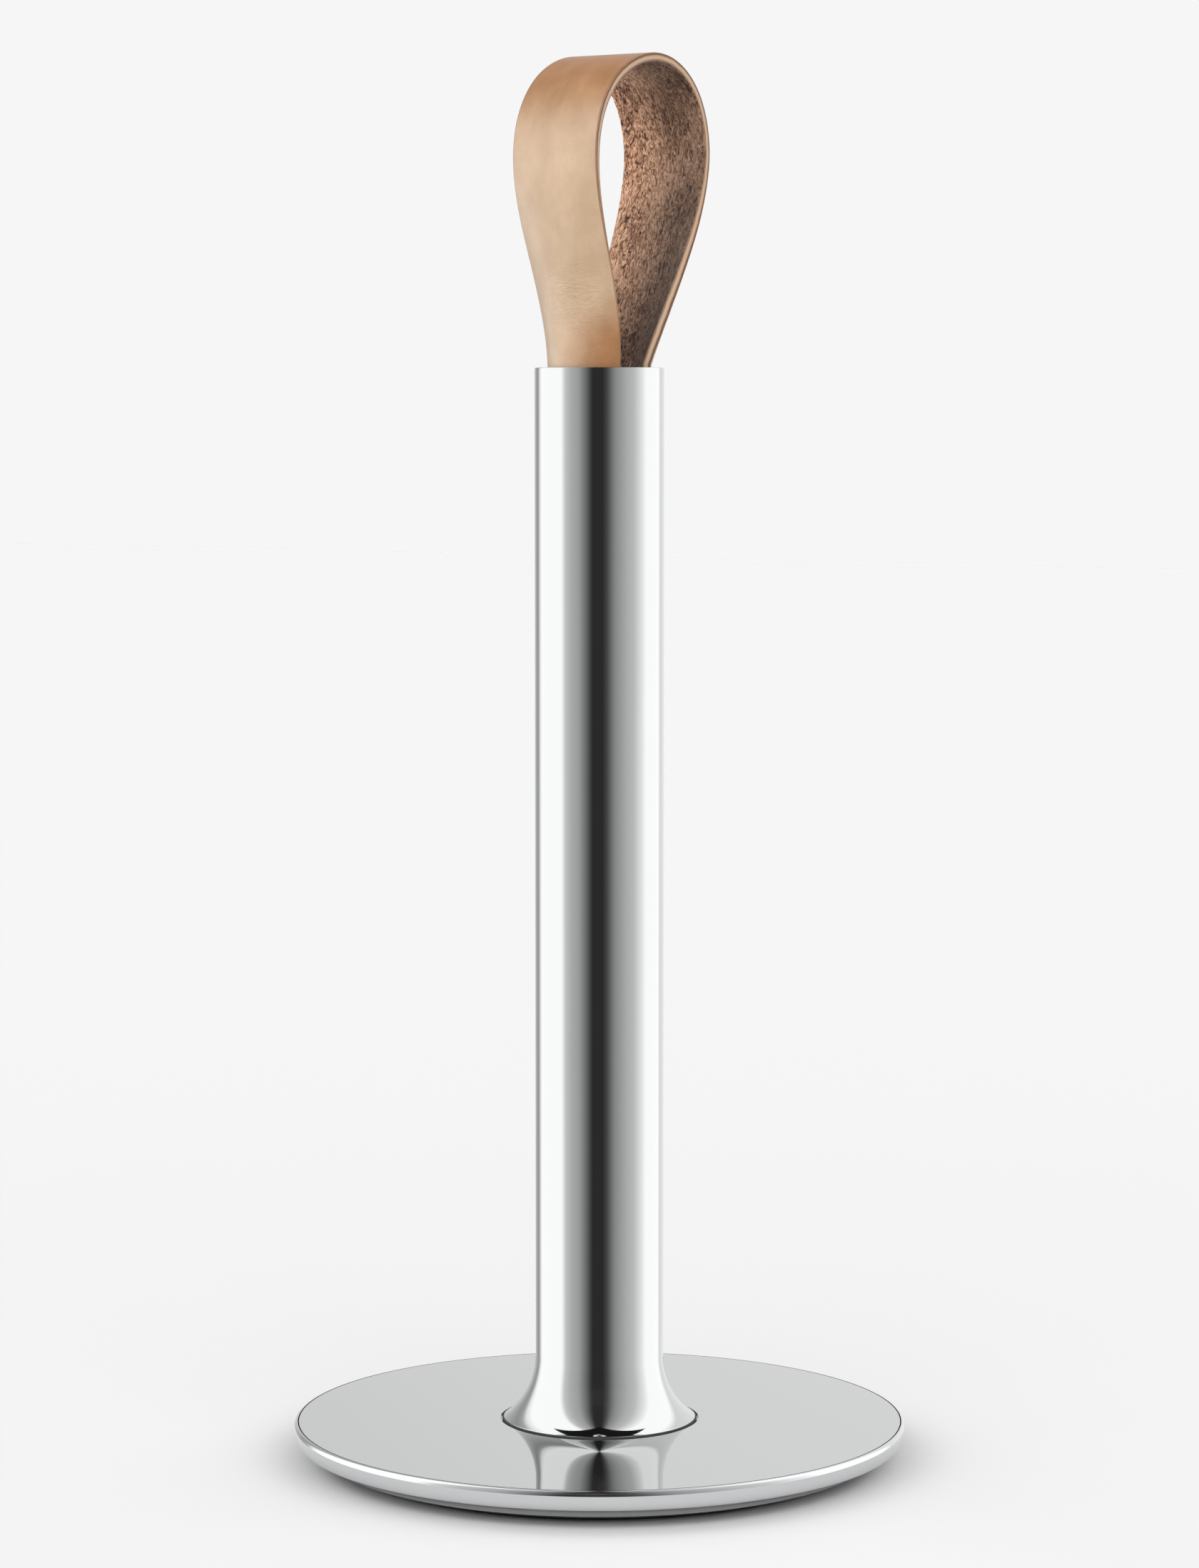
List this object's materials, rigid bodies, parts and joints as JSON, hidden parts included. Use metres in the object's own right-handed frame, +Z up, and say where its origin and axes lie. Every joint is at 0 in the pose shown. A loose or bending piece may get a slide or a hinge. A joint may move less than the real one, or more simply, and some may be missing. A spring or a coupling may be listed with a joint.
{
  "type": "paper towel holder",
  "caption": "Free-standing paper towel holder: weighted round base, straight tube post with a flared foot, and a leather pull loop at the top.",
  "frame": {"origin": "centre of the underside, on the table", "axes": "+Z up along the post; X lies in the plane of the leather loop, +X towards the side it leans to; Y runs along the width of the strap"},
  "size_m": [0.153, 0.153, 0.3496],
  "materials": {
    "polished_chrome": "mirror polished",
    "fastener_steel": "zinc plated, dull",
    "cast_iron": "as cast",
    "cover_plastic": "moulded, fine grain",
    "black_rubber": "matt",
    "tan_leather": "smooth grain outside, raw flesh side inside"
  },
  "bodies": {
    "stand": {"base_ring": "polished_chrome", "top_plate": "polished_chrome", "ballast_disc": "cast_iron", "bottom_cover": "cover_plastic", "antislip_pad": "black_rubber", "cover_screw_1": "fastener_steel", "cover_screw_2": "fastener_steel", "cover_screw_3": "fastener_steel", "cover_screw_4": "fastener_steel", "foot_gasket": "black_rubber", "post_tube": "polished_chrome", "foot_insert": "fastener_steel", "post_bolt": "fastener_steel", "spring_washer": "fastener_steel", "flat_washer": "fastener_steel", "strap_plug": "cover_plastic", "strap_rivet": "fastener_steel", "rivet_washer_1": "fastener_steel", "rivet_washer_2": "fastener_steel", "strap_tail_1": "tan_leather", "strap_tail_2": "tan_leather"},
    "loop": {"strap_loop": "tan_leather"}
  },
  "joints": [
    {"name": "strap_flex", "type": "hinge", "parent": "stand", "child": "loop", "pos_m": [0, 0, 0.2726], "axis": [0, 1, 0], "range_deg": [-15, 15], "stiffness_Nm_per_rad": 0.08}
  ]
}
